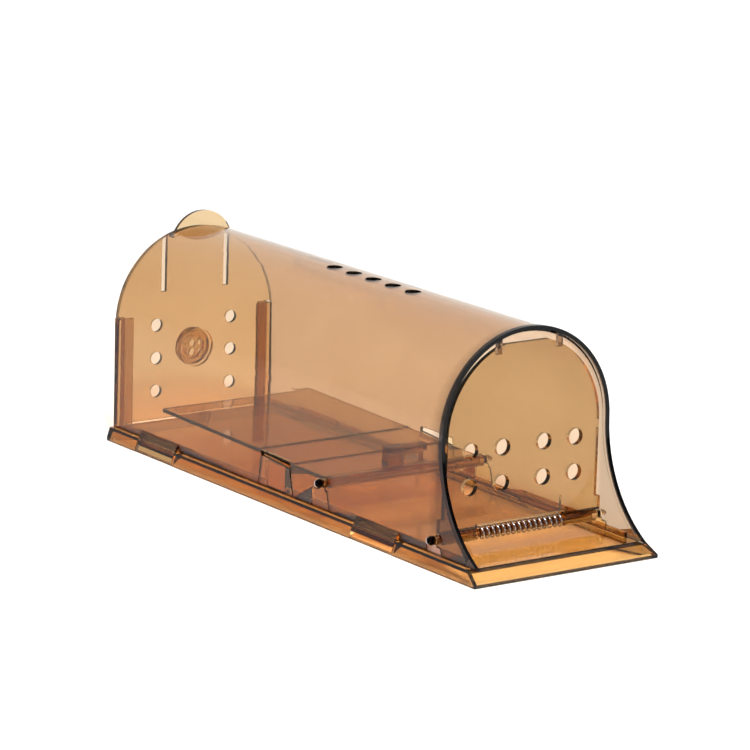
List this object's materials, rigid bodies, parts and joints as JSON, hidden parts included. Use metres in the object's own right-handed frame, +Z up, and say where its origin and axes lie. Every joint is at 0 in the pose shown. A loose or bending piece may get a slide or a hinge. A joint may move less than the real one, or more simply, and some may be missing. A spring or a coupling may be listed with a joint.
{
  "type": "live catch rodent trap",
  "caption": "See-through tunnel trap on a snap-in tray: a sprung drop-down door, a tilting trip pedal, a sliding rear gate and a pull-out bait cap.",
  "frame": {"origin": "under the middle of the trap's bounding box, on the surface it stands on", "axes": "+Z up; -Y out of the entrance, +Y towards the bait end; +X to the right seen from the back"},
  "size_m": [0.08, 0.2428, 0.0872],
  "materials": {
    "amber_plastic": "clear amber moulding, polished",
    "clear_tan_plastic": "clear tan moulding, polished",
    "spring_steel": "bright drawn wire"
  },
  "bodies": {
    "housing": {"base_tray": "amber_plastic", "tunnel_shell": "clear_tan_plastic", "door_spring": "spring_steel"},
    "door": {"front_door": "amber_plastic", "door_rod": "amber_plastic"},
    "trip_pedal": {"pedal": "amber_plastic", "pedal_rod": "amber_plastic"},
    "gate": {"rear_gate": "amber_plastic"},
    "cap": {"bait_cap": "amber_plastic"}
  },
  "joints": [
    {"name": "door_hinge", "type": "hinge", "parent": "housing", "child": "door", "pos_m": [0, -0.0934, 0.01008], "axis": [1, 0, 0], "range_deg": [-82, 0], "stiffness_Nm_per_rad": 0.0104, "springref_deg": 89.95, "deforming": ["door_spring"]},
    {"name": "pedal_hinge", "type": "hinge", "parent": "housing", "child": "trip_pedal", "pos_m": [0, -0.02526, 0.01478], "axis": [1, 0, 0], "range_deg": [0, 14]},
    {"name": "gate_slide", "type": "slide", "parent": "housing", "child": "gate", "axis": [0, 0, 1], "range_m": [0, 0.042]},
    {"name": "cap_slide", "type": "slide", "parent": "gate", "child": "cap", "axis": [0, 1, 0], "range_m": [0, 0.006]}
  ]
}
